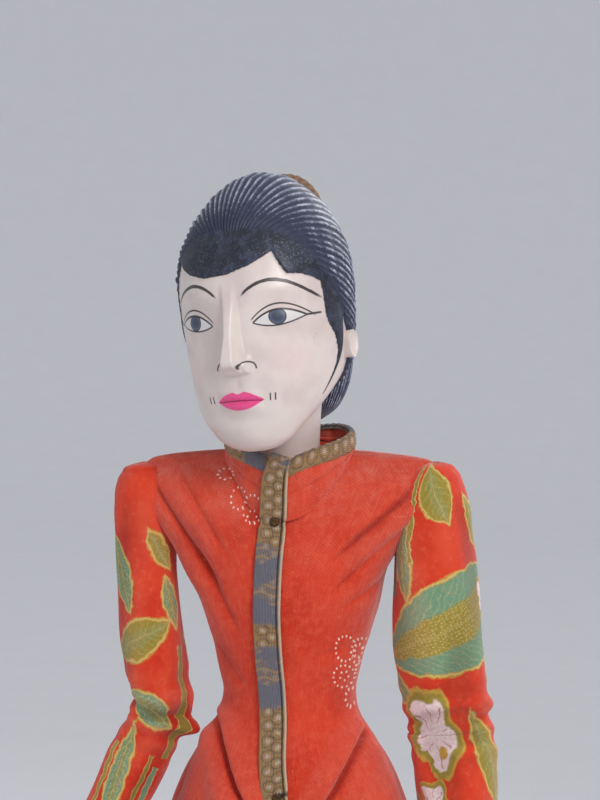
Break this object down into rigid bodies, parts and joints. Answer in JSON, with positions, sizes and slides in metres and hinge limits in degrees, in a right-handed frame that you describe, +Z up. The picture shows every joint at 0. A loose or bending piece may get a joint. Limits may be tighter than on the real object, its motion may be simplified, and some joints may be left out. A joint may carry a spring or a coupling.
{
  "type": "rod puppet",
  "caption": "Rod puppet: carved head on a central rod that turns and slides in a clothed torso, with strung arms and hands worked by thin rods.",
  "frame": {"origin": "lower end of the central rod's cylindrical foot, on the rod's axis", "axes": "+Z up along the central rod, the torso faces -Y, +X towards the figure's left hand"},
  "size_m": [0.1747, 0.1007, 0.5902],
  "materials": {
    "rod_wood": "worn, lightly oiled",
    "stop_cord": "wound cotton cord, matt",
    "head_paint": "painted, soft gloss",
    "hair_paint": "painted, worn on the carved ridges",
    "comb_wood": "stained, matt",
    "bare_wood": "bare, fine sanded",
    "jacket_cloth": "plain woven cotton, slightly dusty",
    "batik_trim": "ribbed patterned cotton",
    "stud_metal": "dark, tarnished",
    "sleeve_cloth": "printed cotton with leaves",
    "skirt_cloth": "printed cotton",
    "tie_cord": "cotton tape",
    "string": "twisted cotton",
    "hand_paint": "painted, soft gloss"
  },
  "bodies": {
    "rod": {"central_rod": "rod_wood", "head": "head_paint", "hair_bun": "hair_paint", "bun_peg": "bare_wood", "hair_comb": "comb_wood"},
    "stop": {"rod_stop": "stop_cord"},
    "torso": {"torso": "bare_wood", "jacket": "jacket_cloth", "collar": "jacket_cloth", "collar_trim": "batik_trim", "placket": "batik_trim", "placket_studs": "stud_metal", "skirt": "skirt_cloth", "waist_tie": "tie_cord"},
    "left_shoulder": {"left_shoulder_cord": "string"},
    "left_upper": {"left_upper_arm": "bare_wood", "left_upper_sleeve": "sleeve_cloth"},
    "left_elbow": {"left_elbow_cord": "string"},
    "left_fore": {"left_forearm": "hand_paint", "left_lower_sleeve": "sleeve_cloth"},
    "left_thread": {"left_rod_thread": "string"},
    "left_rod": {"left_hand_rod": "rod_wood"},
    "right_shoulder": {"right_shoulder_cord": "string"},
    "right_upper": {"right_upper_arm": "bare_wood", "right_upper_sleeve": "sleeve_cloth"},
    "right_elbow": {"right_elbow_cord": "string"},
    "right_fore": {"right_forearm": "hand_paint", "right_lower_sleeve": "sleeve_cloth"},
    "right_thread": {"right_rod_thread": "string"},
    "right_rod": {"right_hand_rod": "rod_wood"}
  },
  "joints": [
    {"name": "head_raise", "type": "slide", "parent": "rod", "child": "stop", "axis": [0, 0, 1], "range_m": [-0.014, 0]},
    {"name": "torso_turn", "type": "hinge", "parent": "stop", "child": "torso", "pos_m": [0, 0, 0.305], "axis": [0, 0, 1], "continuous": true},
    {"name": "left_shoulder_swing", "type": "hinge", "parent": "torso", "child": "left_shoulder", "pos_m": [0.06, 0, 0.43], "axis": [-1, 0, 0], "range_deg": [-40, 120]},
    {"name": "left_shoulder_lift", "type": "hinge", "parent": "left_shoulder", "child": "left_upper", "pos_m": [0.06, 0, 0.43], "axis": [0, -1, 0], "range_deg": [0, 80]},
    {"name": "left_elbow_spread", "type": "hinge", "parent": "left_upper", "child": "left_elbow", "pos_m": [0.06614, 0, 0.34221], "axis": [0, -1, 0], "range_deg": [-2, 60]},
    {"name": "left_elbow_bend", "type": "hinge", "parent": "left_elbow", "child": "left_fore", "pos_m": [0.06711, 0, 0.32825], "axis": [-0.9976, 0, -0.0698], "range_deg": [-8, 85]},
    {"name": "left_rod_spread", "type": "hinge", "parent": "left_fore", "child": "left_thread", "pos_m": [0.07299, -0.01183, 0.24428], "axis": [0, -1, 0], "range_deg": [-3, 60]},
    {"name": "left_rod_swing", "type": "hinge", "parent": "left_thread", "child": "left_rod", "pos_m": [0.07299, -0.01183, 0.23468], "axis": [-1, 0, 0], "range_deg": [-70, 70]},
    {"name": "right_shoulder_swing", "type": "hinge", "parent": "torso", "child": "right_shoulder", "pos_m": [-0.06, 0, 0.43], "axis": [-1, 0, 0], "range_deg": [-40, 120]},
    {"name": "right_shoulder_lift", "type": "hinge", "parent": "right_shoulder", "child": "right_upper", "pos_m": [-0.06, 0, 0.43], "axis": [0, 1, 0], "range_deg": [0, 80]},
    {"name": "right_elbow_spread", "type": "hinge", "parent": "right_upper", "child": "right_elbow", "pos_m": [-0.05386, 0, 0.34221], "axis": [0, 1, 0], "range_deg": [-5, 34]},
    {"name": "right_elbow_bend", "type": "hinge", "parent": "right_elbow", "child": "right_fore", "pos_m": [-0.05911, 0, 0.32923], "axis": [-0.9272, 0, 0.3746], "range_deg": [-12, 80]},
    {"name": "right_rod_spread", "type": "hinge", "parent": "right_fore", "child": "right_thread", "pos_m": [-0.09025, -0.01767, 0.25215], "axis": [0, 1, 0], "range_deg": [-8, 60]},
    {"name": "right_rod_swing", "type": "hinge", "parent": "right_thread", "child": "right_rod", "pos_m": [-0.09025, -0.01767, 0.24255], "axis": [-1, 0, 0], "range_deg": [-70, 70]}
  ]
}
